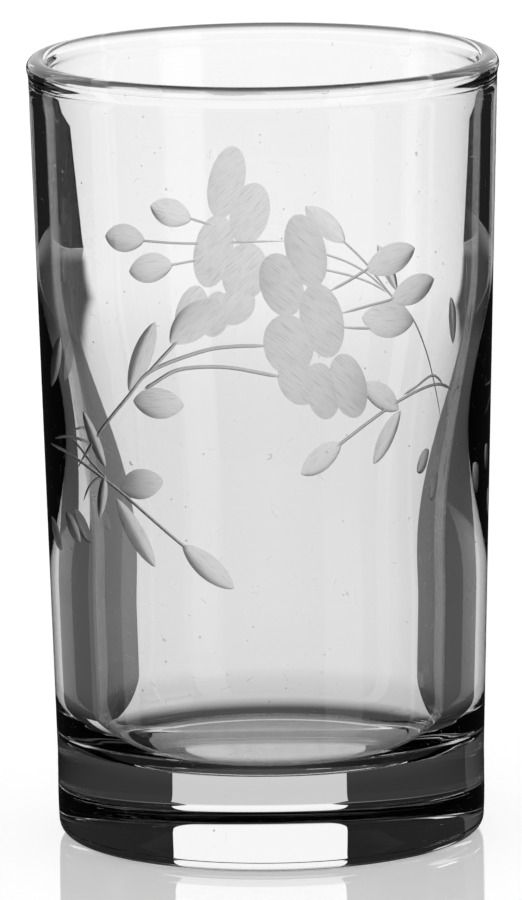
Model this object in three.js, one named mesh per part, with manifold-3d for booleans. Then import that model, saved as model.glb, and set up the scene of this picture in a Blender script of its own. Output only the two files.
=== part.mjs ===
// Clear glass tumbler with a bead rim, a heavy base and a wheel-cut floral spray on each side.
// Units are millimetres and +Z is up. The origin is at the centre of the foot, on the table.
// The first spray faces -Y.

import * as THREE from "three";
import { mergeVertices } from "three/addons/utils/BufferGeometryUtils.js";
import Module from "manifold-3d";

const wasm = await Module();
wasm.setup();

// Driving sizes of the glass
const height = 100;
const baseRadius = 27.25;
const wallTopRadius = 29.65;
const rimWallThickness = 1.9;
const footWallThickness = 5.2;
const baseThickness = 11.3;
const bandHeight = 11;
const footDraw = 0.25;
const footDrawHeight = 5.5;
const footEdgeRadius = 2;
const floorFilletWidth = 4;
const floorFilletHeight = 6.5;
const footRingWidth = 3;
const dishDepth = 0.4;

// Driving sizes of the bead rim
const beadRadius = 1.3;
const beadProud = 0.25;
const beadBlendLength = 2;

// Driving sizes that place the change of wall thickness
const thickWallRise = 22.7;
const thinWallDrop = 28;

// Driving sizes of the cut ornament
const sprayCount = 2;
const sprayBottom = 36;
const sprayTopGap = 16;
const petalLength = 9.6;
const petalWidth = 5.4;
const petalDepth = 0.2;
const leafWidth = 3.5;
const leafDepth = 0.28;
const stemWidth = 0.55;
const stemDepth = 0.15;
const wheelRadius = 1.2;

// Facet counts
const roundSegments = 72;
const dishSteps = 3;
const footEdgeSteps = 4;
const footDrawSteps = 2;
const beadSteps = 8;
const wallSteps = 8;
const filletSteps = 4;
const petalSides = 14;
const petalRings = 6;
const leafSides = 4;
const leafSteps = 6;
const stemSides = 4;
const stemStepsPerPoint = 2;

// Sizes that follow from the driving ones
const footDrawRadius = (footDrawHeight ** 2 + footDraw ** 2) / (2 * footDraw);
const footDrawCentreRadius = baseRadius - footDrawRadius;
const footArcGap = footDrawRadius - footEdgeRadius;
const footArcRise = footDrawHeight - footEdgeRadius;
const footEdgeTurn = Math.asin(footArcRise / footArcGap);
const footOuterRadius = footDrawCentreRadius + footArcGap * Math.cos(footEdgeTurn);
const dishRadius = footOuterRadius - footRingWidth;
const beadCentreRadius = wallTopRadius + beadProud - beadRadius;
const beadCentreHeight = height - beadRadius;
const wallTopHeight = beadCentreHeight - beadRadius;
const innerWallTopHeight = wallTopHeight - beadBlendLength;
const innerFilletTop = baseThickness + floorFilletHeight;
const thickWallHeight = baseThickness + thickWallRise;
const thinWallHeight = height - thinWallDrop;
const sprayHeight = height - sprayTopGap - sprayBottom;
const decorRadius = (baseRadius + wallTopRadius) / 2;
const sprayPitch = (2 * Math.PI * decorRadius) / sprayCount;

// Where the bead's arc leaves the outer wall and meets the inner blend, as shares of a half turn
const beadOuterStartShare = -0.14;
const beadInnerEndShare = 1.14;

// Petals of every spray. Places are shares of the spray's pitch along and of its height up, and
// sizes are shares of the petal's width and length. Each petal leans with its top to the left.
const petalShares = [
  { along: 0.056, up: 0.904, width: 0.91, length: 1.0, lean: 14 },
  { along: 0.022, up: 0.817, width: 0.97, length: 0.86, lean: 15 },
  { along: 0.078, up: 0.719, width: 1.0, length: 1.01, lean: 13 },
  { along: 0.031, up: 0.658, width: 1.14, length: 0.82, lean: 12 },
  { along: 0.045, up: 0.56, width: 0.91, length: 0.66, lean: 30 },
  { along: 0.078, up: 0.533, width: 0.78, length: 0.77, lean: 12 },
  { along: 0.116, up: 0.542, width: 0.88, length: 0.89, lean: 16 },
];

// Leaves and buds of the first spray, each from its base to its tip, [along, up] in the same
// shares. The width is a share of the leaf's width.
const firstLeafShares = [
  { base: [0.142, 0.844], tip: [0.222, 0.887], width: 1.12 },
  { base: [0.182, 0.758], tip: [0.259, 0.797], width: 1.05 },
  { base: [0.136, 0.721], tip: [0.22, 0.692], width: 1.31 },
  { base: [-0.136, 0.659], tip: [-0.064, 0.778], width: 1.2 },
  { base: [-0.205, 0.521], tip: [-0.158, 0.711], width: 0.8 },
  { base: [-0.198, 0.496], tip: [-0.117, 0.497], width: 1.14 },
  { base: [-0.227, 0.259], tip: [-0.152, 0.294], width: 1.1 },
  { base: [-0.234, 0.229], tip: [-0.169, 0.059], width: 0.8 },
  { base: [-0.125, 0.124], tip: [-0.05, 0.013], width: 0.89 },
  { base: [-0.398, 0.486], tip: [-0.354, 0.63], width: 0.8 },
  { base: [-0.254, 0.309], tip: [-0.3, 0.448], width: 0.6 },
  { base: [-0.431, 0.124], tip: [-0.38, 0.052], width: 0.8 },
  { base: [-0.362, 0.16], tip: [-0.319, 0.092], width: 0.7 },
  { base: [-0.255, 0.288], tip: [-0.271, 0.169], width: 0.5 },
];

// Stems of the first spray: a share of the stem's width, and [along, up] points it runs through
const firstStemShares = [
  {
    width: 1,
    points: [
      [-0.332, 0.265], [-0.263, 0.401], [-0.209, 0.502], [-0.169, 0.578], [-0.092, 0.639],
      [-0.043, 0.656], [0.015, 0.657],
    ],
  },
  {
    width: 1,
    points: [
      [-0.18, 0.53], [-0.164, 0.547], [-0.13, 0.585], [-0.093, 0.599], [-0.053, 0.6],
      [-0.016, 0.589], [0.03, 0.57],
    ],
  },
  {
    width: 0.9,
    points: [
      [-0.429, 0.329], [-0.332, 0.319], [-0.23, 0.253], [-0.125, 0.124], [-0.098, 0.082],
    ],
  },
  { width: 0.8, points: [[-0.402, 0.343], [-0.336, 0.366], [-0.282, 0.311], [-0.246, 0.272]] },
  { width: 0.7, points: [[-0.255, 0.293], [-0.289, 0.253], [-0.31, 0.196]] },
  { width: 0.9, points: [[-0.184, 0.55], [-0.152, 0.612], [-0.11, 0.693]] },
  { width: 0.75, points: [[0.08, 0.788], [0.118, 0.821], [0.142, 0.844], [0.182, 0.874]] },
  { width: 0.75, points: [[0.095, 0.731], [0.145, 0.749], [0.183, 0.76], [0.22, 0.78]] },
  { width: 0.75, points: [[0.09, 0.702], [0.15, 0.69], [0.188, 0.699]] },
];

// Leaves, buds and stems of the second spray, in the same form
const secondLeafShares = [
  { base: [0.111, 0.808], tip: [0.179, 0.856], width: 1.03 },
  { base: [0.191, 0.764], tip: [0.272, 0.794], width: 1.05 },
  { base: [0.143, 0.69], tip: [0.223, 0.686], width: 1.13 },
  { base: [-0.123, 0.742], tip: [-0.061, 0.836], width: 0.9 },
  { base: [-0.216, 0.622], tip: [-0.178, 0.743], width: 0.55 },
  { base: [-0.247, 0.238], tip: [-0.162, 0.299], width: 1.06 },
  { base: [-0.252, 0.236], tip: [-0.197, 0.078], width: 0.8 },
  { base: [-0.13, 0.119], tip: [-0.058, 0.033], width: 0.89 },
  { base: [-0.398, 0.486], tip: [-0.354, 0.63], width: 0.8 },
  { base: [-0.431, 0.124], tip: [-0.38, 0.052], width: 0.8 },
  { base: [-0.362, 0.16], tip: [-0.319, 0.092], width: 0.7 },
];
const secondStemShares = [
  {
    width: 0.6,
    points: [
      [-0.1, 0.776], [-0.123, 0.742], [-0.16, 0.686], [-0.205, 0.606], [-0.246, 0.551],
      [-0.299, 0.436], [-0.349, 0.336], [-0.414, 0.241],
    ],
  },
  { width: 0.55, points: [[-0.03, 0.72], [-0.095, 0.706], [-0.153, 0.669], [-0.205, 0.606]] },
  { width: 0.55, points: [[-0.03, 0.673], [-0.095, 0.664], [-0.163, 0.639], [-0.205, 0.606]] },
  {
    width: 0.9,
    points: [
      [-0.457, 0.362], [-0.35, 0.343], [-0.245, 0.262], [-0.131, 0.122], [-0.104, 0.088],
    ],
  },
  { width: 0.8, points: [[-0.402, 0.343], [-0.336, 0.366], [-0.282, 0.311], [-0.251, 0.279]] },
  { width: 0.6, points: [[0.135, 0.828], [0.1, 0.803], [0.05, 0.772]] },
  { width: 0.6, points: [[0.215, 0.772], [0.195, 0.764], [0.099, 0.742], [-0.06, 0.742]] },
  { width: 0.6, points: [[0.17, 0.69], [0.143, 0.69], [0.087, 0.7], [0.05, 0.706]] },
];

const sprayKinds = [
  { leaves: firstLeafShares, stems: firstStemShares },
  { leaves: secondLeafShares, stems: secondStemShares },
];

// How full a leaf's outline is: its width falls off along it as a power of this size
const leafFullnessShare = 0.75;

const clearGlass = new THREE.MeshStandardMaterial({
  color: 0xdfe3e3,
  roughness: 0.04,
  metalness: 0,
  transparent: true,
  opacity: 0.45,
});

// Outer radius of the wall at a height: upright over the band, then an even flare to the rim
function outerRadius(z) {
  const flareShare = Math.max(0, (z - bandHeight) / (wallTopHeight - bandHeight));
  return baseRadius + (wallTopRadius - baseRadius) * flareShare;
}

// The wall is thick at the foot and eases to the rim's thickness higher up
function wallThickness(z) {
  const thinShare = THREE.MathUtils.smoothstep(z, thickWallHeight, thinWallHeight);
  return footWallThickness + (rimWallThickness - footWallThickness) * thinShare;
}

function innerRadius(z) {
  return outerRadius(z) - wallThickness(z);
}

// Points on an arc, with angles in radians counted from the +radius direction
function arcPoints(centreRadius, centreHeight, radius, startAngle, endAngle, steps) {
  const points = [];
  for (let step = 0; step <= steps; step += 1) {
    const angle = startAngle + ((endAngle - startAngle) * step) / steps;
    points.push(new THREE.Vector2(
      centreRadius + radius * Math.cos(angle),
      centreHeight + radius * Math.sin(angle),
    ));
  }
  return points;
}

// Shallow dish under the base: an arc through the dish's centre and the foot ring's inner edge
function dishPoints() {
  const points = [];
  for (let step = 0; step < dishSteps; step += 1) {
    const share = step / dishSteps;
    points.push(new THREE.Vector2(dishRadius * share, dishDepth * (1 - share * share)));
  }
  points.push(new THREE.Vector2(dishRadius, 0));
  return points;
}

function innerWallPoints() {
  const points = [];
  for (let step = 0; step < wallSteps; step += 1) {
    const z = innerWallTopHeight + ((innerFilletTop - innerWallTopHeight) * step) / wallSteps;
    points.push(new THREE.Vector2(innerRadius(z), z));
  }
  return points;
}

// The foot's edge is a round arc, and a long soft arc that touches it draws the wall in
function footPoints() {
  const edge = arcPoints(
    footOuterRadius,
    footEdgeRadius,
    footEdgeRadius,
    -Math.PI / 2,
    -footEdgeTurn,
    footEdgeSteps,
  );
  const draw = arcPoints(
    footDrawCentreRadius,
    footDrawHeight,
    footDrawRadius,
    -footEdgeTurn,
    0,
    footDrawSteps,
  );
  return [...edge, ...draw.slice(1)];
}

// Where the inner wall meets the floor it bends in a quarter of an ellipse, taller than wide
function floorFilletPoints() {
  const centreRadius = innerRadius(innerFilletTop) - floorFilletWidth;
  const points = [];
  for (let step = 0; step <= filletSteps; step += 1) {
    const angle = (Math.PI / 2) * (step / filletSteps);
    points.push(new THREE.Vector2(
      centreRadius + floorFilletWidth * Math.cos(angle),
      innerFilletTop - floorFilletHeight * Math.sin(angle),
    ));
  }
  return points;
}

// Section of the glass, from the axis under the base, up the outside, over the rim and down to
// the axis on the inner floor
function bodySection() {
  return [
    ...dishPoints(),
    ...footPoints(),
    new THREE.Vector2(baseRadius, bandHeight),
    new THREE.Vector2(wallTopRadius, wallTopHeight),
    ...arcPoints(
      beadCentreRadius,
      beadCentreHeight,
      beadRadius,
      beadOuterStartShare * Math.PI,
      beadInnerEndShare * Math.PI,
      beadSteps,
    ),
    ...innerWallPoints(),
    ...floorFilletPoints(),
    new THREE.Vector2(0, baseThickness),
  ];
}

// Position-only copy of a geometry with shared vertices merged and empty triangles dropped
function closedMesh(geometry) {
  const bare = geometry.clone();
  bare.deleteAttribute("normal");
  bare.deleteAttribute("uv");
  const merged = mergeVertices(bare);
  const index = merged.index.array;
  const triangles = [];
  for (let corner = 0; corner < index.length; corner += 3) {
    const [a, b, c] = index.subarray(corner, corner + 3);
    if (a !== b && b !== c && c !== a) {
      triangles.push(a, b, c);
    }
  }
  merged.setIndex(triangles);
  return merged;
}

function toSolid(geometry) {
  const mesh = closedMesh(geometry);
  return new wasm.Manifold(new wasm.Mesh({
    numProp: 3,
    vertProperties: new Float32Array(mesh.attributes.position.array),
    triVerts: new Uint32Array(mesh.index.array),
  }));
}

function toGeometry(solid) {
  const mesh = solid.getMesh();
  const geometry = new THREE.BufferGeometry();
  geometry.setAttribute("position", new THREE.BufferAttribute(mesh.vertProperties, mesh.numProp));
  geometry.setIndex(new THREE.BufferAttribute(mesh.triVerts, 1));
  geometry.computeVertexNormals();
  return geometry;
}

// Bend a flat tool onto the outside of the wall. In the flat tool x runs along the wall to the
// right, y is the height and z stands out of the glass.
function wrapOnWall(geometry, sprayTurn) {
  const position = geometry.attributes.position;
  for (let vertex = 0; vertex < position.count; vertex += 1) {
    const turn = sprayTurn + position.getX(vertex) / decorRadius;
    const up = position.getY(vertex);
    const radius = outerRadius(up) + position.getZ(vertex);
    position.setXYZ(vertex, radius * Math.sin(turn), -radius * Math.cos(turn), up);
  }
  return geometry;
}

function sprayPoint([alongShare, upShare]) {
  return new THREE.Vector3(alongShare * sprayPitch, sprayBottom + upShare * sprayHeight, 0);
}

// A petal is one round touch of the wheel: an ellipsoid cap whose opening has the petal's size
function petalTool(petal) {
  const standOff = wheelRadius - petalDepth;
  const openingShare = Math.sqrt(1 - (standOff / wheelRadius) ** 2);
  const tool = new THREE.SphereGeometry(1, petalSides, petalRings);
  tool.rotateX(Math.PI / 2);
  tool.scale(
    (petal.width * petalWidth) / 2 / openingShare,
    (petal.length * petalLength) / 2 / openingShare,
    wheelRadius,
  );
  tool.rotateZ(THREE.MathUtils.degToRad(petal.lean));
  const centre = sprayPoint([petal.along, petal.up]);
  tool.translate(centre.x, centre.y, standOff);
  return tool;
}

// A leaf is a long V cut that is deepest and widest in the middle and runs out at both ends
function leafTool(leaf) {
  const base = sprayPoint(leaf.base);
  const tip = sprayPoint(leaf.tip);
  const along = tip.clone().sub(base);
  const section = [];
  for (let step = 0; step <= leafSteps; step += 1) {
    const place = -1 + (2 * step) / leafSteps;
    section.push(new THREE.Vector2((1 - place * place) ** leafFullnessShare, place));
  }
  const tool = new THREE.LatheGeometry(section, leafSides);
  tool.scale((leaf.width * leafWidth) / 2, along.length() / 2, leafDepth);
  tool.rotateZ(Math.atan2(-along.x, along.y));
  const centre = base.add(tip).multiplyScalar(1 / 2);
  tool.translate(centre.x, centre.y, 0);
  return tool;
}

// A stem is a fine round groove along a smooth line, shallower where it is finer
function stemTool(stem) {
  const grooveRadius = (stem.width * stemWidth) / 2;
  const section = new THREE.Shape();
  for (let side = 0; side < stemSides; side += 1) {
    const angle = (2 * Math.PI * side) / stemSides;
    const x = grooveRadius * Math.cos(angle);
    const y = grooveRadius * Math.sin(angle);
    if (side === 0) {
      section.moveTo(x, y);
    } else {
      section.lineTo(x, y);
    }
  }
  const route = new THREE.CatmullRomCurve3(stem.points.map(sprayPoint));
  const tool = new THREE.ExtrudeGeometry(section, {
    steps: stemStepsPerPoint * stem.points.length,
    bevelEnabled: false,
    extrudePath: route,
  });
  tool.translate(0, 0, grooveRadius - stem.width * stemDepth);
  return tool;
}

function sprayTools(kind) {
  return [
    ...petalShares.map(petalTool),
    ...kind.leaves.map(leafTool),
    ...kind.stems.map(stemTool),
  ];
}

// A crumb of glass left loose where two cuts cross falls away, so only the largest piece stays
function withoutCrumbs(solid) {
  const pieces = solid.decompose();
  pieces.sort((one, other) => other.volume() - one.volume());
  return pieces[0];
}

// The tumbler: the turned body less every cut of every spray
function glassBody() {
  const turned = new THREE.LatheGeometry(bodySection(), roundSegments);
  turned.rotateX(Math.PI / 2);
  let solid = toSolid(turned);
  for (let spray = 0; spray < sprayCount; spray += 1) {
    const sprayTurn = (2 * Math.PI * spray) / sprayCount;
    for (const tool of sprayTools(sprayKinds[spray % sprayKinds.length])) {
      solid = solid.subtract(toSolid(wrapOnWall(tool, sprayTurn)));
    }
  }
  const body = new THREE.Mesh(toGeometry(withoutCrumbs(solid)), clearGlass);
  body.name = "glass_body";
  return body;
}

const tumbler = new THREE.Group();
tumbler.name = "tumbler";
tumbler.add(glassBody());

export default tumbler;
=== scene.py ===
# Clear glass tumbler with a bead rim, a heavy base and a wheel-cut floral spray on each side.
# Sizes are millimetres until a mesh is made, and then metres. +Z is up and the first spray
# faces -Y.

import math
import bpy
import bmesh
from mathutils import Matrix, Vector, kdtree


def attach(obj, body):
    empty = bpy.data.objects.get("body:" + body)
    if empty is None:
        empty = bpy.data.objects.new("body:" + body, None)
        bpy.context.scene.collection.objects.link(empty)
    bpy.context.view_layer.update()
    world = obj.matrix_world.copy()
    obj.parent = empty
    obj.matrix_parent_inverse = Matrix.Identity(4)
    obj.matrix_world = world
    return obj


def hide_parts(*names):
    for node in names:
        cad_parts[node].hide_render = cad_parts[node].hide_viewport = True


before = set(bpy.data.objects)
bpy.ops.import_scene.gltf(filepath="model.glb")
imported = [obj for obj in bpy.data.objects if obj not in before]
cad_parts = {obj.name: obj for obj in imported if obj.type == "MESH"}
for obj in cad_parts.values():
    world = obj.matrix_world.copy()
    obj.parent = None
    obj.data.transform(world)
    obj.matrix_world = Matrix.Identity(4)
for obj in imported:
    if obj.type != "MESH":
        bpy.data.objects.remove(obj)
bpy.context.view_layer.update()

MM = 0.001
ON_AXIS = 1e-6

# Driving sizes of the glass
HEIGHT = 100
BASE_RADIUS = 27.25
WALL_TOP_RADIUS = 29.65
RIM_WALL_THICKNESS = 1.9
FOOT_WALL_THICKNESS = 5.2
BASE_THICKNESS = 11.3
BAND_HEIGHT = 11
FOOT_DRAW = 0.25
FOOT_DRAW_HEIGHT = 5.5
FOOT_EDGE_RADIUS = 2
FLOOR_FILLET_WIDTH = 4
FLOOR_FILLET_HEIGHT = 6.5
FOOT_RING_WIDTH = 3
DISH_DEPTH = 0.4

# Driving sizes of the bead rim
BEAD_RADIUS = 1.3
BEAD_PROUD = 0.25
BEAD_BLEND_LENGTH = 2

# Driving sizes that place the change of wall thickness
THICK_WALL_RISE = 22.7
THIN_WALL_DROP = 28

# Driving sizes of the cut ornament. The wheel's radius is how far the ellipsoid that cuts a petal
# reaches into and out of the wall from its middle.
SPRAY_COUNT = 2
SPRAY_BOTTOM = 36
SPRAY_TOP_GAP = 16
PETAL_LENGTH = 9.6
PETAL_WIDTH = 5.4
PETAL_DEPTH = 0.2
LEAF_WIDTH = 3.5
LEAF_DEPTH = 0.28
STEM_WIDTH = 0.55
STEM_DEPTH = 0.15
WHEEL_RADIUS = 1.2

# Facet counts
ROUND_SEGMENTS = 240
DISH_STEPS = 12
FOOT_EDGE_STEPS = 14
FOOT_DRAW_STEPS = 6
BEAD_STEPS = 24
WALL_STEPS = 40
FILLET_STEPS = 14
FLOOR_STEPS = 5
PETAL_SIDES = 64
PETAL_RINGS = 40
LEAF_SIDES = 12
LEAF_STEPS = 30
STEM_SIDES = 12
STEM_STEPS_PER_POINT = 10
STEM_TAPER_STEPS = 7

# Sizes that follow from the driving ones
FOOT_DRAW_RADIUS = (FOOT_DRAW_HEIGHT ** 2 + FOOT_DRAW ** 2) / (2 * FOOT_DRAW)
FOOT_DRAW_CENTRE = BASE_RADIUS - FOOT_DRAW_RADIUS
FOOT_ARC_GAP = FOOT_DRAW_RADIUS - FOOT_EDGE_RADIUS
FOOT_EDGE_TURN = math.asin((FOOT_DRAW_HEIGHT - FOOT_EDGE_RADIUS) / FOOT_ARC_GAP)
FOOT_OUTER_RADIUS = FOOT_DRAW_CENTRE + FOOT_ARC_GAP * math.cos(FOOT_EDGE_TURN)
DISH_RADIUS = FOOT_OUTER_RADIUS - FOOT_RING_WIDTH
BEAD_CENTRE_RADIUS = WALL_TOP_RADIUS + BEAD_PROUD - BEAD_RADIUS
BEAD_CENTRE_HEIGHT = HEIGHT - BEAD_RADIUS
WALL_TOP_HEIGHT = BEAD_CENTRE_HEIGHT - BEAD_RADIUS
INNER_WALL_TOP_HEIGHT = WALL_TOP_HEIGHT - BEAD_BLEND_LENGTH
INNER_FILLET_TOP = BASE_THICKNESS + FLOOR_FILLET_HEIGHT
THICK_WALL_HEIGHT = BASE_THICKNESS + THICK_WALL_RISE
THIN_WALL_HEIGHT = HEIGHT - THIN_WALL_DROP
SPRAY_HEIGHT = HEIGHT - SPRAY_TOP_GAP - SPRAY_BOTTOM
DECOR_RADIUS = (BASE_RADIUS + WALL_TOP_RADIUS) / 2
SPRAY_PITCH = 2 * math.pi * DECOR_RADIUS / SPRAY_COUNT
WHEEL_STAND_OFF = WHEEL_RADIUS - PETAL_DEPTH
WHEEL_OPENING_SHARE = math.sqrt(1 - (WHEEL_STAND_OFF / WHEEL_RADIUS) ** 2)

# Where the bead's arc leaves the outer wall and meets the inner blend, as shares of a half turn
BEAD_OUTER_START_SHARE = -0.14
BEAD_INNER_END_SHARE = 1.14

# Petals of one spray: (along, up, width, length) as shares of the spray's pitch and height and
# of the petal's width and length, then the lean of the petal in degrees
PETAL_SHARES = [
    (0.056, 0.904, 0.91, 1.0, 14),
    (0.022, 0.817, 0.97, 0.86, 15),
    (0.078, 0.719, 1.0, 1.01, 13),
    (0.031, 0.658, 1.14, 0.82, 12),
    (0.045, 0.56, 0.91, 0.66, 30),
    (0.078, 0.533, 0.78, 0.77, 12),
    (0.116, 0.542, 0.88, 0.89, 16),
]

# Direction of the wheel's lines in the petals, in degrees
PETAL_GRIND_ANGLE = -40

# A leaf's outline: how full it is, how blunt its ends are, and how far the shape that cuts it
# runs past its sides
LEAF_FULLNESS_SHARE = 0.75
LEAF_END_SHARE = 0.004
LEAF_OVERRUN_SHARE = 0.1

# How far a leaf's deepest line leans, and the direction it leans in, to the lower left
LEAF_SLANT_SHARE = 0.55
STEEP_SIDE = Vector((-0.8, -0.6))

# Leaves and buds of the first spray, each from its base to its tip, (along, up) in the same
# shares. The width is a share of the leaf's width.
FIRST_LEAF_SHARES = [
    ((0.142, 0.844), (0.222, 0.887), 1.12),
    ((0.182, 0.758), (0.259, 0.797), 1.05),
    ((0.136, 0.721), (0.22, 0.692), 1.31),
    ((-0.136, 0.659), (-0.064, 0.778), 1.2),
    ((-0.205, 0.521), (-0.158, 0.711), 0.8),
    ((-0.198, 0.496), (-0.117, 0.497), 1.14),
    ((-0.227, 0.259), (-0.152, 0.294), 1.1),
    ((-0.234, 0.229), (-0.169, 0.059), 0.8),
    ((-0.125, 0.124), (-0.05, 0.013), 0.89),
    ((-0.398, 0.486), (-0.354, 0.63), 0.8),
    ((-0.254, 0.309), (-0.3, 0.448), 0.6),
    ((-0.431, 0.124), (-0.38, 0.052), 0.8),
    ((-0.362, 0.16), (-0.319, 0.092), 0.7),
    ((-0.255, 0.288), (-0.271, 0.169), 0.5),
]

# Stems of the first spray: a share of the stem's width, then (along, up) points
FIRST_STEM_SHARES = [
    (1, [(-0.332, 0.265), (-0.263, 0.401), (-0.209, 0.502), (-0.169, 0.578), (-0.092, 0.639),
         (-0.043, 0.656), (0.015, 0.657)]),
    (1, [(-0.18, 0.53), (-0.164, 0.547), (-0.13, 0.585), (-0.093, 0.599), (-0.053, 0.6),
         (-0.016, 0.589), (0.03, 0.57)]),
    (0.9, [(-0.429, 0.329), (-0.332, 0.319), (-0.23, 0.253), (-0.125, 0.124), (-0.098, 0.082)]),
    (0.8, [(-0.402, 0.343), (-0.336, 0.366), (-0.282, 0.311), (-0.246, 0.272)]),
    (0.7, [(-0.255, 0.293), (-0.289, 0.253), (-0.31, 0.196)]),
    (0.9, [(-0.184, 0.55), (-0.152, 0.612), (-0.11, 0.693)]),
    (0.75, [(0.08, 0.788), (0.118, 0.821), (0.142, 0.844), (0.182, 0.874)]),
    (0.75, [(0.095, 0.731), (0.145, 0.749), (0.183, 0.76), (0.22, 0.78)]),
    (0.75, [(0.09, 0.702), (0.15, 0.69), (0.188, 0.699)]),
]

# Leaves, buds and stems of the second spray, in the same form
SECOND_LEAF_SHARES = [
    ((0.111, 0.808), (0.179, 0.856), 1.03),
    ((0.191, 0.764), (0.272, 0.794), 1.05),
    ((0.143, 0.69), (0.223, 0.686), 1.13),
    ((-0.123, 0.742), (-0.061, 0.836), 0.9),
    ((-0.216, 0.622), (-0.178, 0.743), 0.55),
    ((-0.247, 0.238), (-0.162, 0.299), 1.06),
    ((-0.252, 0.236), (-0.197, 0.078), 0.8),
    ((-0.13, 0.119), (-0.058, 0.033), 0.89),
    ((-0.398, 0.486), (-0.354, 0.63), 0.8),
    ((-0.431, 0.124), (-0.38, 0.052), 0.8),
    ((-0.362, 0.16), (-0.319, 0.092), 0.7),
]
SECOND_STEM_SHARES = [
    (0.6, [(-0.1, 0.776), (-0.123, 0.742), (-0.16, 0.686), (-0.205, 0.606), (-0.246, 0.551),
           (-0.299, 0.436), (-0.349, 0.336), (-0.414, 0.241)]),
    (0.55, [(-0.03, 0.72), (-0.095, 0.706), (-0.153, 0.669), (-0.205, 0.606)]),
    (0.55, [(-0.03, 0.673), (-0.095, 0.664), (-0.163, 0.639), (-0.205, 0.606)]),
    (0.9, [(-0.457, 0.362), (-0.35, 0.343), (-0.245, 0.262), (-0.131, 0.122), (-0.104, 0.088)]),
    (0.8, [(-0.402, 0.343), (-0.336, 0.366), (-0.282, 0.311), (-0.251, 0.279)]),
    (0.6, [(0.135, 0.828), (0.1, 0.803), (0.05, 0.772)]),
    (0.6, [(0.215, 0.772), (0.195, 0.764), (0.099, 0.742), (-0.06, 0.742)]),
    (0.6, [(0.17, 0.69), (0.143, 0.69), (0.087, 0.7), (0.05, 0.706)]),
]

# Material slots of the cuts in the glass mesh. Slot 0 is the clear glass.
PETAL_SLOT = 1
LEAF_SLOT = 2
STEM_SLOT = 3

# Setting normals: half the stretch that a cut's slope is read over, how far towards the middle of
# its face it is read, and how near to the even flare a face is that counts as part of it
SLOPE_STEP = 0.004
SLOPE_PULL_SHARE = 0.12
FLARE_END_MARGIN = 0.01
FLARE_GAP = 0.05

# The camera: where it stands and how it is turned, found from the rim and the base
CAMERA_DISTANCE = 1344
CAMERA_HEIGHT = 293.3
CAMERA_PITCH = 10.295
CAMERA_YAW = -0.034
CAMERA_ROLL = -0.7055
CAMERA_LENS = 429.6
CAMERA_SENSOR = 36
CAMERA_CLIP_START = 10
CAMERA_CLIP_END = 100000

# The studio's cards stand on the board round the glass, open where a view looks through the
# glass. Directions are degrees counted from +X towards +Y. The window behind the glass gets wider
# over its lowest 40 mm: (height, right edge, left edge). The cards beside it end at the two
# directions after it, and the other cards have spans of their own.
CARD_RADIUS = 460
CARD_STEP = 2
MAIN_WINDOW = [(0, 75.5, 100), (25, 73.5, 102), (40, 72, 103.2), (383, 72, 103.2)]
CARD_RIGHT_END = 5
CARD_LEFT_END = 131
CARD_SPANS = [(144, 174), (186, 303), (327, 361.5)]

# The fence is a card far behind the gap on the left, and leaves only its upper part open
FENCE_RADIUS = 3000
FENCE_HEIGHT = 1180
FENCE_SPAN = (122, 148)

# Brightness of the fence and the cards beside the main window, and of the other cards
CARD_GREY = 0.014
SIDE_CARD_GREY = 0.08

# A ray that has bounced less often than this sees through the cards
CARD_CLEAR_DEPTH = 1.5

# The board under the glass, and how the camera sees it
BOARD_SIZE = 8000
BOARD_DROP = 0.05
BOARD_PAINT = 0.9
SEEN_GLOW = 0.3
SEEN_GLOSS = 0.4
SEEN_ROUGHNESS = 0.035

# The board through the glass glows with painted light and shade: darker close to the glass as a
# painted shadow of the glass, lighter far off, and darker to the sides as painted shade of the
# cards. Each ramp here and below says where it starts and ends and its value at both. Places are
# millimetres from the glass's axis, and for the side ramp the share of that distance that is to
# the left or right.
NEAR_PAINTED_SHADOW_RAMP = (45, 110, 0.03, 0.2)
FAR_GLOW_RAMP = (110, 400, 0, 0.1)
SIDE_PAINTED_SHADE_RAMP = (0.15, 0.8, 1, 0.4)
THROUGH_GLOSS_RAMP = (110, 400, 0.62, 0.7)
THROUGH_ROUGHNESS = 0.02

# Painted shade on the board behind the glass and outside the window, in place of the shade of
# the cards beside it: how bright it is, its inner edges as shares of the distance and at the
# least, how soft they are, where it starts and ends, and how far round to the left it goes as a
# ramp over across / behind
SHADE_GLOW = 0.06
SHADE_LEFT_SHARE = 0.172
SHADE_LEFT_LEAST = 55
SHADE_LEFT_EDGE_RAMP = (-6, 4, 1, 0)
SHADE_RIGHT_SHARE = 0.25
SHADE_RIGHT_LEAST = 68
SHADE_RIGHT_EDGE_RAMP = (-4, 6, 0, 1)
SHADE_BEHIND_RAMP = (0, 50, 0, 1)
SHADE_START_RAMP = (140, 220, 0, 1)
SHADE_END_RAMP = (430, 460, 1, 0)
SHADE_SLANT_RAMP = (-1, -0.75, 0, 1)

# Brightness of the board in the glass's own gloss
GLOSS_GLOW = 0.01

# How the world fades with its height for all but the camera, as a ramp over the upward share of
# a ray's direction
WORLD_FADE_RAMP = (0.45, 0.7, 1, 0.07)

GLASS_IOR = 1.52

# Specks of dust on the clear glass: the grid they lie in, the largest one's radius as a share of
# it, and the share of the grid's cells that stay empty
SPECK_PITCH = 2.4
SPECK_SHARE = 0.07
SPECK_EMPTY_SHARE = 0.5

# Fine hairs and scratches: how far apart they wind, how fine they are, and the pitch and level of
# the noise that leaves only short pieces of them
HAIR_PITCH = 7
HAIR_SHARE = 0.001
HAIR_GAP = 1.6
HAIR_GAP_LEVEL = 0.72

# The rubbed part of the foot ring: how high it reaches, and the pitch and ramp of its patches
RUBBED_HEIGHT = 0.12
RUBBED_PITCH = 0.35
RUBBED_RAMP = (0.5, 0.8, 0, 0.7)

# How rough the glass is and how bright its tone where it is fully worn
WORN_ROUGHNESS = 0.35
WORN_TONE = 0.6

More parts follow.
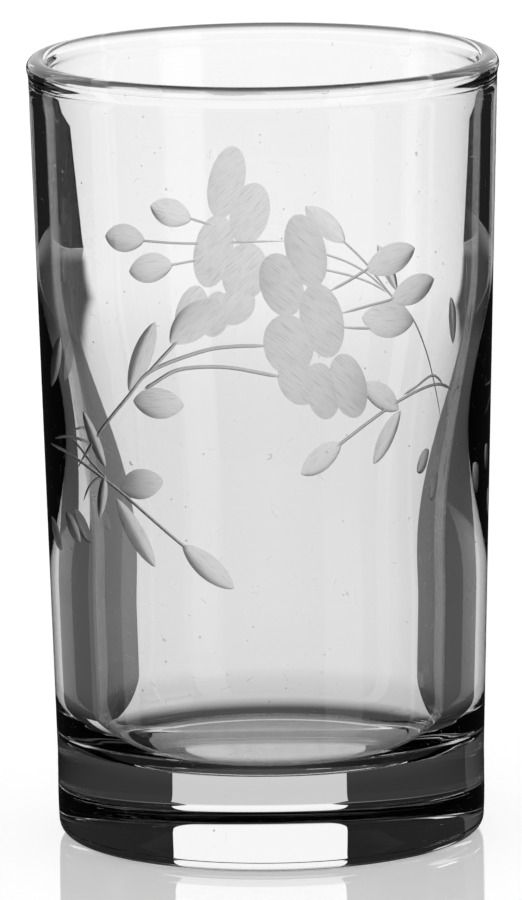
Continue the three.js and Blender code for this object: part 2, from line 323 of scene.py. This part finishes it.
# Wheel lines in the cuts: how far the noise moves from one cut to the next, and the part of it
# that makes dark lines
CUT_NOISE_STEP = 7
WHEEL_LINE_LOW = 0.5
WHEEL_LINE_HIGH = 0.72


def smoothstep(value, low, high):
    """0 at low and 1 at high, whichever is larger, and smooth between."""
    share = min(1.0, max(0.0, (value - low) / (high - low)))
    return share * share * (3 - 2 * share)


def outer_radius(z):
    """Outer radius of the wall at a height: upright over the band, then an even flare."""
    flare_share = max(0.0, (z - BAND_HEIGHT) / (WALL_TOP_HEIGHT - BAND_HEIGHT))
    return BASE_RADIUS + (WALL_TOP_RADIUS - BASE_RADIUS) * flare_share


def inner_radius(z):
    """The wall is thick at the foot and eases to the rim's thickness higher up."""
    thin_share = smoothstep(z, THICK_WALL_HEIGHT, THIN_WALL_HEIGHT)
    thickness = FOOT_WALL_THICKNESS + (RIM_WALL_THICKNESS - FOOT_WALL_THICKNESS) * thin_share
    return outer_radius(z) - thickness


def arc_points(centre_radius, centre_height, radius, start, end, steps):
    points = []
    for step in range(steps + 1):
        angle = start + (end - start) * step / steps
        points.append((centre_radius + radius * math.cos(angle),
                       centre_height + radius * math.sin(angle)))
    return points


def dish_points():
    points = []
    for step in range(DISH_STEPS + 1):
        share = step / DISH_STEPS
        points.append((DISH_RADIUS * share, DISH_DEPTH * (1 - share * share)))
    return points


def foot_points():
    edge = arc_points(FOOT_OUTER_RADIUS, FOOT_EDGE_RADIUS, FOOT_EDGE_RADIUS,
                      -math.pi / 2, -FOOT_EDGE_TURN, FOOT_EDGE_STEPS)
    draw = arc_points(FOOT_DRAW_CENTRE, FOOT_DRAW_HEIGHT, FOOT_DRAW_RADIUS,
                      -FOOT_EDGE_TURN, 0, FOOT_DRAW_STEPS)
    return edge + draw[1:]


def inner_wall_points():
    points = []
    for step in range(WALL_STEPS):
        z = INNER_WALL_TOP_HEIGHT + (INNER_FILLET_TOP - INNER_WALL_TOP_HEIGHT) * step / WALL_STEPS
        points.append((inner_radius(z), z))
    return points


def fillet_points(centre_radius):
    """Where the inner wall meets the floor it bends in a quarter of an ellipse, taller than
    wide."""
    points = []
    for step in range(FILLET_STEPS + 1):
        angle = math.pi / 2 * step / FILLET_STEPS
        points.append((centre_radius + FLOOR_FILLET_WIDTH * math.cos(angle),
                       INNER_FILLET_TOP - FLOOR_FILLET_HEIGHT * math.sin(angle)))
    return points


def floor_points(edge_radius):
    points = []
    for step in range(1, FLOOR_STEPS + 1):
        points.append((edge_radius * (1 - step / FLOOR_STEPS), BASE_THICKNESS))
    return points


def body_section():
    """Section of the glass from the axis under the base, up the outside, over the rim and down
    to the axis on the inner floor."""
    bead = arc_points(BEAD_CENTRE_RADIUS, BEAD_CENTRE_HEIGHT, BEAD_RADIUS,
                      BEAD_OUTER_START_SHARE * math.pi, BEAD_INNER_END_SHARE * math.pi, BEAD_STEPS)
    fillet_centre = inner_radius(INNER_FILLET_TOP) - FLOOR_FILLET_WIDTH
    wall = [(BASE_RADIUS, BAND_HEIGHT), (WALL_TOP_RADIUS, WALL_TOP_HEIGHT)]
    return (dish_points() + foot_points() + wall + bead + inner_wall_points()
            + fillet_points(fillet_centre) + floor_points(fillet_centre))


def section_normals(points):
    """Outward normal (radius, height) at each point of the section, smooth across its arcs."""
    normals = []
    last = len(points) - 1
    for place in range(len(points)):
        total = Vector((0, 0))
        for low, high in ((place - 1, place), (place, place + 1)):
            if low < 0 or high > last:
                continue
            step = Vector(points[high]) - Vector(points[low])
            total += Vector((step.y, -step.x)) / step.length_squared
        normals.append(total.normalized())
    normals[0] = Vector((0, -1))
    normals[-1] = Vector((0, 1))
    return normals


def add_turned(mesh, section, segments):
    """Turn a section about the z axis. A point on the axis becomes one vertex."""
    rings = []
    for radius, z in section:
        if radius < ON_AXIS:
            rings.append([mesh.verts.new((0, 0, z))])
            continue
        ring = []
        for segment in range(segments):
            turn = 2 * math.pi * segment / segments
            ring.append(mesh.verts.new((radius * math.sin(turn), -radius * math.cos(turn), z)))
        rings.append(ring)
    for lower, upper in zip(rings, rings[1:]):
        for segment in range(segments):
            after = (segment + 1) % segments
            if len(lower) == 1:
                mesh.faces.new((lower[0], upper[after], upper[segment]))
            elif len(upper) == 1:
                mesh.faces.new((lower[segment], lower[after], upper[0]))
            else:
                mesh.faces.new((lower[segment], lower[after], upper[after], upper[segment]))


def spray_point(shares):
    return Vector((shares[0] * SPRAY_PITCH, SPRAY_BOTTOM + shares[1] * SPRAY_HEIGHT))


def smooth_route(shares, steps_per_point):
    """Points on a smooth curve through the given places."""
    stops = [spray_point(share) for share in shares]
    route = []
    for place in range(len(stops) - 1):
        before = stops[max(place - 1, 0)]
        start, end = stops[place], stops[place + 1]
        after = stops[min(place + 2, len(stops) - 1)]
        for step in range(steps_per_point):
            t = step / steps_per_point
            route.append(0.5 * (2 * start + (end - before) * t
                                + (2 * before - 5 * start + 4 * end - after) * t ** 2
                                + (3 * start - before - 3 * end + after) * t ** 3))
    route.append(stops[-1])
    return route


class Petal:
    """One round touch of the wheel: an ellipsoid cap whose opening has the petal's size."""
    slot = PETAL_SLOT

    def __init__(self, shares):
        along, up, width, length, lean = shares
        self.centre = spray_point((along, up))
        self.half_width = width * PETAL_WIDTH / 2
        self.half_length = length * PETAL_LENGTH / 2
        self.lean = math.radians(lean)
        self.grind = math.radians(PETAL_GRIND_ANGLE)

    def local(self, point):
        """Place in the petal, as shares of its half width and half length."""
        offset = point - self.centre
        cos, sin = math.cos(self.lean), math.sin(self.lean)
        return ((offset.x * cos + offset.y * sin) / self.half_width,
                (-offset.x * sin + offset.y * cos) / self.half_length)

    def depth(self, point):
        x, y = self.local(point)
        rest = WHEEL_RADIUS ** 2 * (1 - (x * x + y * y) * WHEEL_OPENING_SHARE ** 2)
        return math.sqrt(max(rest, 0)) - WHEEL_STAND_OFF

    def tool(self, mesh):
        section = []
        for ring in range(PETAL_RINGS + 1):
            angle = math.pi * ring / PETAL_RINGS
            section.append((math.sin(angle), -math.cos(angle)))
        section[0] = (0, -1)
        section[-1] = (0, 1)
        add_turned(mesh, section, PETAL_SIDES)
        cos, sin = math.cos(self.lean), math.sin(self.lean)
        for vertex in mesh.verts:
            x = vertex.co.x * self.half_width / WHEEL_OPENING_SHARE
            y = vertex.co.y * self.half_length / WHEEL_OPENING_SHARE
            z = vertex.co.z * WHEEL_RADIUS + WHEEL_STAND_OFF
            vertex.co = (self.centre.x + x * cos - y * sin, self.centre.y + x * sin + y * cos, z)


class Leaf:
    """A long slanting touch of the wheel, pointed at both ends, steeper on its lower left side."""
    slot = LEAF_SLOT

    def __init__(self, shares):
        base_share, tip_share, width = shares
        base, tip = spray_point(base_share), spray_point(tip_share)
        self.centre = (base + tip) / 2
        self.half_width = width * LEAF_WIDTH / 2
        self.half_length = (tip - base).length / 2
        self.forward = (tip - base).normalized()
        self.right = Vector((self.forward.y, -self.forward.x))
        self.slant = math.copysign(LEAF_SLANT_SHARE, self.right.dot(STEEP_SIDE))
        self.grind = math.atan2(self.forward.y, self.forward.x)

    def width_at(self, place):
        return max(1 - place * place, 0) ** LEAF_FULLNESS_SHARE

    def depth_at(self, place, across):
        """Depth at a place from -1 to 1 along and a share of the half width there across."""
        return LEAF_DEPTH * self.width_at(place) * (1 - across * across) * (1 + self.slant * across)

    def depth(self, point):
        offset = point - self.centre
        place = offset.dot(self.forward) / self.half_length
        width = self.width_at(place)
        if width < LEAF_END_SHARE:
            return -1
        across = offset.dot(self.right) / self.half_width / width
        if abs(across) > 1 + LEAF_OVERRUN_SHARE:
            return -1
        return self.depth_at(place, across)

    def tool(self, mesh):
        floor = []
        roof = []
        for step in range(LEAF_STEPS + 1):
            place = (-1 + 2 * step / LEAF_STEPS) * (1 - LEAF_END_SHARE)
            floor_row = []
            roof_row = []
            for side in range(LEAF_SIDES + 1):
                across = (-1 + 2 * side / LEAF_SIDES) * (1 + LEAF_OVERRUN_SHARE)
                flat = self.centre + self.forward * place * self.half_length
                flat += self.right * across * self.half_width * self.width_at(place)
                floor_row.append(mesh.verts.new((flat.x, flat.y, -self.depth_at(place, across))))
                roof_row.append(mesh.verts.new((flat.x, flat.y, LEAF_DEPTH)))
            floor.append(floor_row)
            roof.append(roof_row)
        for step in range(LEAF_STEPS):
            for side in range(LEAF_SIDES):
                for rows in (floor, roof):
                    mesh.faces.new((rows[step][side], rows[step][side + 1],
                                    rows[step + 1][side + 1], rows[step + 1][side]))
            for side in (0, LEAF_SIDES):
                mesh.faces.new((floor[step][side], floor[step + 1][side],
                                roof[step + 1][side], roof[step][side]))
        for step in (0, LEAF_STEPS):
            for side in range(LEAF_SIDES):
                mesh.faces.new((floor[step][side], floor[step][side + 1],
                                roof[step][side + 1], roof[step][side]))


class Stem:
    """A fine round groove along a smooth line."""
    slot = STEM_SLOT

    def __init__(self, shares):
        width, places = shares
        self.route = smooth_route(places, STEM_STEPS_PER_POINT)
        self.radius = width * STEM_WIDTH / 2
        self.cut_depth = width * STEM_DEPTH

    def tool(self, mesh):
        rings = []
        last = len(self.route) - 1
        for place, point in enumerate(self.route):
            along = (self.route[min(place + 1, last)] - self.route[max(place - 1, 0)]).normalized()
            right = Vector((along.y, -along.x))
            taper = min(1.0, (min(place, last - place) + 1) / STEM_TAPER_STEPS)
            ring = []
            for side in range(STEM_SIDES):
                angle = 2 * math.pi * side / STEM_SIDES
                flat = point + right * self.radius * math.cos(angle) * taper
                z = self.radius * math.sin(angle) * taper + self.radius - self.cut_depth
                ring.append(mesh.verts.new((flat.x, flat.y, z)))
            rings.append(ring)
        for lower, upper in zip(rings, rings[1:]):
            for side in range(STEM_SIDES):
                after = (side + 1) % STEM_SIDES
                mesh.faces.new((lower[side], lower[after], upper[after], upper[side]))
        mesh.faces.new(list(reversed(rings[0])))
        mesh.faces.new(rings[-1])


def spray_cuts(leaf_shares, stem_shares):
    petals = [Petal(shares) for shares in PETAL_SHARES]
    leaves = [Leaf(shares) for shares in leaf_shares]
    stems = [Stem(shares) for shares in stem_shares]
    return petals + leaves + stems


SPRAYS = [spray_cuts(FIRST_LEAF_SHARES, FIRST_STEM_SHARES),
          spray_cuts(SECOND_LEAF_SHARES, SECOND_STEM_SHARES)]


def spray_turn_of(spray):
    return 2 * math.pi * spray / SPRAY_COUNT


def wrap_on_wall(mesh, spray_turn):
    """Bend a flat tool onto the wall. In the flat tool x runs along the wall to the right, y is
    the height and z stands out of the glass."""
    for vertex in mesh.verts:
        along, up, out = vertex.co
        turn = spray_turn + along / DECOR_RADIUS
        radius = outer_radius(up) + out
        vertex.co = (radius * math.sin(turn), -radius * math.cos(turn), up)


def object_from(mesh, name, materials):
    bmesh.ops.recalc_face_normals(mesh, faces=mesh.faces)
    if mesh.calc_volume(signed=True) < 0:
        bmesh.ops.reverse_faces(mesh, faces=mesh.faces)
    data = bpy.data.meshes.new(name)
    mesh.to_mesh(data)
    mesh.free()
    for material in materials:
        data.materials.append(material)
    made = bpy.data.objects.new(name, data)
    bpy.context.scene.collection.objects.link(made)
    return made


def turned_body(materials):
    mesh = bmesh.new()
    add_turned(mesh, body_section(), ROUND_SEGMENTS)
    return object_from(mesh, "tumbler_glass", materials)


def cut_tool(cut, spray, name, materials):
    mesh = bmesh.new()
    cut.tool(mesh)
    wrap_on_wall(mesh, spray_turn_of(spray))
    tool = object_from(mesh, name, materials)
    for face in tool.data.polygons:
        face.material_index = cut.slot
    return tool


def grind_cuts(body, materials):
    """Take every cut of every spray out of the body, and keep each cut's own material."""
    tools = []
    for spray in range(SPRAY_COUNT):
        for number, cut in enumerate(SPRAYS[spray]):
            tools.append(cut_tool(cut, spray, f"cut_{spray}_{number}", materials))
    for tool in tools:
        wheel = body.modifiers.new(tool.name, "BOOLEAN")
        wheel.operation = "DIFFERENCE"
        wheel.solver = "MANIFOLD"
        wheel.material_mode = "INDEX"
        wheel.object = tool
    graph = bpy.context.evaluated_depsgraph_get()
    cut_mesh = bpy.data.meshes.new_from_object(body.evaluated_get(graph))
    body.modifiers.clear()
    body.data = cut_mesh
    for tool in tools:
        bpy.data.objects.remove(tool)


def place_on_wall(position):
    """The spray that a point belongs to, and its place on the unrolled wall in that spray."""
    turn = math.atan2(position.x, -position.y)
    spray = round(turn / (2 * math.pi) * SPRAY_COUNT) % SPRAY_COUNT
    offset = (turn - spray_turn_of(spray) + math.pi) % (2 * math.pi) - math.pi
    return spray, Vector((offset * DECOR_RADIUS, position.z))


def cut_of_face(face):
    """The petal or leaf that a face is ground by, a number that no other cut has, and the
    face's middle on the unrolled wall."""
    spray, middle = place_on_wall(face.center)
    depths = []
    for number, cut in enumerate(SPRAYS[spray]):
        if cut.slot == face.material_index:
            depths.append((cut.depth(middle), number))
    number = max(depths)[1]
    return SPRAYS[spray][number], number + spray * len(SPRAYS[0]), middle


def cut_slopes(cut, point, middle):
    """How fast a cut's depth grows to the right and upward at a point of a face. The slope is
    read a little towards the middle of the face, so that a facet keeps its own at a ridge."""
    point = point.lerp(middle, SLOPE_PULL_SHARE)
    right, up = Vector((SLOPE_STEP, 0)), Vector((0, SLOPE_STEP))
    right_slope = (cut.depth(point + right) - cut.depth(point - right)) / (2 * SLOPE_STEP)
    up_slope = (cut.depth(point + up) - cut.depth(point - up)) / (2 * SLOPE_STEP)
    return right_slope, up_slope


def wall_normal(position, right_slope=0.0, up_slope=0.0):
    """Outward normal of the flared wall, or of a cut in it with the given slopes."""
    radius = math.hypot(position.x, position.y)
    flare = (WALL_TOP_RADIUS - BASE_RADIUS) / (WALL_TOP_HEIGHT - BAND_HEIGHT)
    out = Vector((position.x / radius, position.y / radius, 0))
    right = Vector((-out.y, out.x, 0))
    normal = out + right * (right_slope * DECOR_RADIUS / radius)
    normal.z = up_slope - flare
    return normal.normalized()


def turned_normal(position, rings, ring_normals):
    """Outward normal of the turned body at a point on one of its rings."""
    radius = math.hypot(position.x, position.y)
    ring = ring_normals[rings.find((radius, position.z, 0))[1]]
    share = ring.x / max(radius, ON_AXIS)
    return Vector((position.x * share, position.y * share, ring.y))


def is_on_flare(point):
    """True on the outer wall's even flare, between the band and the bead."""
    if not BAND_HEIGHT + FLARE_END_MARGIN < point.z < WALL_TOP_HEIGHT - FLARE_END_MARGIN:
        return False
    return abs(math.hypot(point.x, point.y) - outer_radius(point.z)) < FLARE_GAP


def stem_vertex_normals(mesh):
    """Normal at each vertex of the stems, not yet of length 1, from the stems' own faces."""
    totals = {}
    for face in mesh.polygons:
        if face.material_index == STEM_SLOT:
            for vertex in face.vertices:
                total = totals.setdefault(vertex, Vector((0, 0, 0)))
                total += face.normal * face.area
    return totals


def set_normals(mesh):
    """Exact normals for the wall, the turned parts and each cut. The attribute grind holds the
    place along and across the wheel's lines and the cut's number in petals and leaves, and the
    point itself in stems."""
    section = body_section()
    ring_normals = section_normals(section)
    rings = kdtree.KDTree(len(section))
    for place, (radius, z) in enumerate(section):
        rings.insert((radius, z, 0), place)
    rings.balance()
    stem_normals = stem_vertex_normals(mesh)
    normals = [None] * len(mesh.loops)
    grind = mesh.attributes.new("grind", "FLOAT_VECTOR", "CORNER")
    for face in mesh.polygons:
        face.use_smooth = True
        is_ground = face.material_index in (PETAL_SLOT, LEAF_SLOT)
        is_flare = is_on_flare(face.center)
        if is_ground:
            cut, cut_number, middle = cut_of_face(face)
            cos, sin = math.cos(cut.grind), math.sin(cut.grind)
        for loop in face.loop_indices:
            vertex = mesh.loops[loop].vertex_index
            position = mesh.vertices[vertex].co
            if is_ground:
                flat = place_on_wall(position)[1]
                normals[loop] = wall_normal(position, *cut_slopes(cut, flat, middle))
                grind.data[loop].vector = (flat.x * cos + flat.y * sin,
                                           flat.y * cos - flat.x * sin, cut_number)
            elif face.material_index == STEM_SLOT:
                normals[loop] = stem_normals[vertex].normalized()
                grind.data[loop].vector = position
            elif is_flare:
                normals[loop] = wall_normal(position)
            else:
                normals[loop] = turned_normal(position, rings, ring_normals)
    mesh.normals_split_custom_set(normals)


def make_glass(materials):
    body = turned_body(materials)
    grind_cuts(body, materials)
    set_normals(body.data)
    body.data.transform(Matrix.Scale(MM, 4))
    return body


class Nodes:
    """A material or world node tree, with short calls to add and link nodes."""

    def __init__(self, tree):
        self.tree = tree
        tree.nodes.clear()

    def feed(self, target, source):
        """Give an input another node's output, or a number, which makes a colour grey."""
        if isinstance(source, bpy.types.NodeSocket):
            self.tree.links.new(source, target)
        elif target.type == "RGBA":
            target.default_value = (source, source, source, 1)
        else:
            target.default_value = source

    def add(self, kind, inputs=None, **settings):
        node = self.tree.nodes.new(kind)
        for name, value in settings.items():
            setattr(node, name, value)
        for name, source in (inputs or {}).items():
            self.feed(node.inputs[name], source)
        return node

    def surface(self, shader, kind="ShaderNodeOutputMaterial"):
        self.add(kind, {"Surface": shader})

    def place(self, kind):
        return self.add("ShaderNodeTexCoord").outputs[kind]

    def split(self, vector):
        return self.add("ShaderNodeSeparateXYZ", {"Vector": vector}).outputs

    def glow(self, strength):
        return self.add("ShaderNodeEmission", {"Strength": strength}).outputs[0]

    def noise(self, place, scale, detail):
        inputs = {"Vector": place, "Scale": scale, "Detail": detail}
        return self.add("ShaderNodeTexNoise", inputs).outputs["Fac"]

    def total(self, first, second):
        """Two shaders added together."""
        return self.add("ShaderNodeAddShader", {0: first, 1: second}).outputs[0]

    def mix(self, share, first, second):
        """The first shader where the share is 0, and the second where it is 1."""
        return self.add("ShaderNodeMixShader", {0: share, 1: first, 2: second}).outputs[0]

    def maths(self, operation, first, second=0):
        return self.add("ShaderNodeMath", {0: first, 1: second}, operation=operation).outputs[0]

    def ramp(self, source, low, high, to_low, to_high, kind="SMOOTHSTEP"):
        """A value that goes from to_low to to_high as the source goes from low to high."""
        inputs = {"Value": source, "From Min": low, "From Max": high,
                  "To Min": to_low, "To Max": to_high}
        return self.add("ShaderNodeMapRange", inputs, interpolation_type=kind).outputs["Result"]


def new_material(name):
    material = bpy.data.materials.new(name)
    material.use_nodes = True
    return material, Nodes(material.node_tree)


def glass_shader(nodes, roughness):
    inputs = {"Base Color": 1, "Transmission Weight": 1, "IOR": GLASS_IOR, "Roughness": roughness}
    shader = nodes.add("ShaderNodeBsdfPrincipled", inputs)
    nodes.surface(shader.outputs[0])
    return shader


def clear_glass_material():
    """Polished glass with a little wear: specks of dust, fine hairs and scratches, and a foot
    ring that is rubbed matt where it stands."""
    material, nodes = new_material("clear_glass")
    shader = glass_shader(nodes, 0)
    place = nodes.place("Object")

    def noise(pitch, detail):
        return nodes.noise(place, 1 / (pitch * MM), detail)

    cells = nodes.add("ShaderNodeTexVoronoi", {"Vector": place, "Scale": 1 / (SPECK_PITCH * MM)})
    kind = nodes.add("ShaderNodeSeparateColor", {"Color": cells.outputs["Color"]})
    size = nodes.ramp(kind.outputs["Red"], SPECK_EMPTY_SHARE, 1, 0, SPECK_SHARE)
    speck = nodes.maths("LESS_THAN", cells.outputs["Distance"], size)
    ridge = nodes.maths("ABSOLUTE", nodes.maths("SUBTRACT", noise(HAIR_PITCH, 1), 0.5))
    hair = nodes.maths("LESS_THAN", ridge, HAIR_SHARE)
    hair_piece = nodes.maths("GREATER_THAN", noise(HAIR_GAP, 0), HAIR_GAP_LEVEL)
    hair = nodes.maths("MULTIPLY", hair, hair_piece)
    near_foot = nodes.ramp(nodes.split(place)["Z"], 0, RUBBED_HEIGHT * MM, 1, 0)
    rubbed = nodes.maths("MULTIPLY", near_foot, nodes.ramp(noise(RUBBED_PITCH, 2), *RUBBED_RAMP))
    wear = nodes.maths("MAXIMUM", nodes.maths("MAXIMUM", speck, hair), rubbed)
    roughness = nodes.ramp(wear, 0, 1, 0, WORN_ROUGHNESS, "LINEAR")
    tone = nodes.ramp(wear, 0, 1, 1, WORN_TONE, "LINEAR")
    nodes.feed(shader.inputs["Roughness"], roughness)
    nodes.feed(shader.inputs["Base Color"], tone)
    return material


def ground_material(name, roughness, tone, line_width, line_length, streak, bump):
    """Glass ground with a wheel: matt and a little grey, with fine darker lines in the direction
    of the wheel."""
    material, nodes = new_material(name)
    shader = glass_shader(nodes, roughness)
    place = nodes.add("ShaderNodeAttribute", attribute_name="grind").outputs["Vector"]
    stretch = (1 / line_length, 1 / line_width, CUT_NOISE_STEP)
    stretched = nodes.add("ShaderNodeMapping", {"Vector": place, "Scale": stretch}).outputs[0]
    lines = nodes.noise(stretched, 1, 2)
    relief = nodes.add("ShaderNodeBump", {"Height": lines, "Strength": 1, "Distance": bump * MM})
    grey = nodes.ramp(lines, WHEEL_LINE_LOW, WHEEL_LINE_HIGH, tone, tone * (1 - streak))
    nodes.feed(shader.inputs["Normal"], relief.outputs[0])
    nodes.feed(shader.inputs["Base Color"], grey)
    return material


def board_shader(nodes, glow, gloss, roughness):
    mirror = nodes.add("ShaderNodeBsdfGlossy", {"Color": gloss, "Roughness": roughness})
    return nodes.total(nodes.glow(glow), mirror.outputs[0])


def painted_card_shade(nodes, across, behind, away):
    """1 where the board gets painted shade for the cards beside the window, and 0 elsewhere."""
    left_edge = nodes.maths("MULTIPLY", away, SHADE_LEFT_SHARE)
    left_edge = nodes.maths("MAXIMUM", left_edge, SHADE_LEFT_LEAST)
    right_edge = nodes.maths("MULTIPLY", away, SHADE_RIGHT_SHARE)
    right_edge = nodes.maths("MAXIMUM", right_edge, SHADE_RIGHT_LEAST)
    left = nodes.ramp(nodes.maths("ADD", across, left_edge), *SHADE_LEFT_EDGE_RAMP)
    right = nodes.ramp(nodes.maths("SUBTRACT", across, right_edge), *SHADE_RIGHT_EDGE_RAMP)
    shade = nodes.maths("MAXIMUM", left, right)
    slant = nodes.maths("DIVIDE", across, behind)
    limits = [(away, SHADE_START_RAMP), (behind, SHADE_BEHIND_RAMP), (away, SHADE_END_RAMP),
              (slant, SHADE_SLANT_RAMP)]
    for source, ramp in limits:
        shade = nodes.maths("MULTIPLY", shade, nodes.ramp(source, *ramp))
    return shade


def make_floor():
    """A glossy white board. The camera sees it white, with the glass's soft shadow and mirror
    image. Through the glass it glows grey with painted shade, darker close by as a painted
    shadow of the glass and to the sides as painted shade of the cards. In the glass's own gloss
    it is nearly black."""
    bpy.ops.mesh.primitive_plane_add(size=BOARD_SIZE * MM, location=(0, 0, -BOARD_DROP * MM))
    floor = bpy.context.object
    floor.name = "floor"
    material, nodes = new_material("glossy_white_board")
    floor.data.materials.append(material)
    paint = nodes.add("ShaderNodeBsdfDiffuse", {"Color": BOARD_PAINT})
    seen_board = board_shader(nodes, SEEN_GLOW, SEEN_GLOSS, SEEN_ROUGHNESS)
    seen = nodes.total(seen_board, paint.outputs[0])

    in_mm = {"Vector": nodes.place("Object"), "Scale": 1 / MM}
    place = nodes.add("ShaderNodeVectorMath", in_mm, operation="SCALE").outputs["Vector"]
    length = nodes.add("ShaderNodeVectorMath", {"Vector": place}, operation="LENGTH")
    away = length.outputs["Value"]
    across, behind = nodes.split(place)["X"], nodes.split(place)["Y"]
    sideways = nodes.maths("DIVIDE", nodes.maths("ABSOLUTE", across), away)
    # Painted shadow of the glass close by and painted shade of the cards to the sides, in the
    # board's glow
    painted_shadow_glow = nodes.ramp(away, *NEAR_PAINTED_SHADOW_RAMP)
    far_glow = nodes.ramp(away, *FAR_GLOW_RAMP)
    glow = nodes.maths("MULTIPLY", nodes.maths("ADD", painted_shadow_glow, far_glow),
                       nodes.ramp(sideways, *SIDE_PAINTED_SHADE_RAMP))
    painted_light_board = board_shader(nodes, glow, nodes.ramp(away, *THROUGH_GLOSS_RAMP), THROUGH_ROUGHNESS)
    # Painted shade of the cards: strips beside the window glow only dark grey
    shade = painted_card_shade(nodes, across, behind, away)
    through = nodes.mix(shade, painted_light_board, nodes.glow(SHADE_GLOW))

    light = nodes.add("ShaderNodeLightPath")
    surface = nodes.mix(light.outputs["Is Camera Ray"], through, seen)
    surface = nodes.mix(light.outputs["Is Glossy Ray"], surface, nodes.glow(GLOSS_GLOW))
    surface = nodes.mix(light.outputs["Is Transmission Ray"], surface, through)
    nodes.surface(surface)


def make_card(name, radius, rows, grey):
    """A card bent round the glass, from rows of (height, start, end). Only glass and gloss see
    it, and not the floor's own mirror image, which stays white."""
    steps = int((rows[0][2] - rows[0][1]) / CARD_STEP)
    corners = []
    faces = []
    for height, start, end in rows:
        for step in range(steps + 1):
            turn = math.radians(start + (end - start) * step / steps)
            x, y = radius * math.cos(turn), radius * math.sin(turn)
            corners.append((x * MM, y * MM, height * MM))
    for row in range(len(rows) - 1):
        for step in range(steps):
            corner = row * (steps + 1) + step
            faces.append((corner, corner + 1, corner + steps + 2, corner + steps + 1))
    data = bpy.data.meshes.new(name)
    data.from_pydata(corners, [], faces)
    card = bpy.data.objects.new(name, data)
    bpy.context.scene.collection.objects.link(card)
    material, nodes = new_material(name)
    data.materials.append(material)
    depth = nodes.add("ShaderNodeLightPath").outputs["Ray Depth"]
    clear = nodes.add("ShaderNodeBsdfTransparent").outputs[0]
    is_seen = nodes.maths("GREATER_THAN", depth, CARD_CLEAR_DEPTH)
    nodes.surface(nodes.mix(is_seen, clear, nodes.glow(grey)))
    card.visible_camera = False
    card.visible_diffuse = False
    card.visible_shadow = False
    card.visible_volume_scatter = False


def make_cards():
    top = MAIN_WINDOW[-1][0]
    right_rows = [(height, CARD_RIGHT_END, right) for height, right, left in MAIN_WINDOW]
    left_rows = [(height, left, CARD_LEFT_END) for height, right, left in MAIN_WINDOW]
    fence_rows = [(0, *FENCE_SPAN), (FENCE_HEIGHT, *FENCE_SPAN)]
    make_card("card_right", CARD_RADIUS, right_rows, CARD_GREY)
    make_card("card_left", CARD_RADIUS, left_rows, CARD_GREY)
    for number, span in enumerate(CARD_SPANS):
        make_card(f"card_{number}", CARD_RADIUS, [(0, *span), (top, *span)], SIDE_CARD_GREY)
    make_card("card_fence", FENCE_RADIUS, fence_rows, CARD_GREY)


def make_world():
    """White to the camera. For the glass it fades from white at the horizon to dark above."""
    world = bpy.data.worlds.new("studio")
    bpy.context.scene.world = world
    world.use_nodes = True
    nodes = Nodes(world.node_tree)
    upward = nodes.split(nodes.place("Generated"))["Z"]
    is_camera = nodes.add("ShaderNodeLightPath").outputs["Is Camera Ray"]
    strength = nodes.maths("MAXIMUM", nodes.ramp(upward, *WORLD_FADE_RAMP), is_camera)
    background = nodes.add("ShaderNodeBackground", {"Color": 1, "Strength": strength})
    nodes.surface(background.outputs[0], "ShaderNodeOutputWorld")


def make_camera():
    data = bpy.data.cameras.new("camera")
    camera = bpy.data.objects.new("camera", data)
    bpy.context.scene.collection.objects.link(camera)
    bpy.context.scene.camera = camera
    data.sensor_fit = "AUTO"
    data.sensor_width = CAMERA_SENSOR
    data.lens = CAMERA_LENS
    data.clip_start = CAMERA_CLIP_START * MM
    data.clip_end = CAMERA_CLIP_END * MM
    camera.location = (0, -CAMERA_DISTANCE * MM, CAMERA_HEIGHT * MM)
    turn = (Matrix.Rotation(math.radians(-CAMERA_YAW), 4, "Z")
            @ Matrix.Rotation(math.radians(90 - CAMERA_PITCH), 4, "X")
            @ Matrix.Rotation(math.radians(CAMERA_ROLL), 4, "Z"))
    camera.rotation_euler = turn.to_euler()


make_camera()
make_world()
make_floor()
make_cards()
glass = make_glass([
    clear_glass_material(),
    ground_material("ground_petals", roughness=0.5, tone=0.8, line_width=0.13, line_length=2.6,
                    streak=0.45, bump=0.006),
    ground_material("ground_leaves", roughness=0.42, tone=0.82, line_width=0.13, line_length=2.2,
                    streak=0.4, bump=0.006),
    ground_material("ground_stems", roughness=0.45, tone=0.5, line_width=0.3, line_length=1.0,
                    streak=0.1, bump=0.002),
])
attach(glass, "root")
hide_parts("glass_body")

bpy.context.scene.view_settings.view_transform = "Standard"
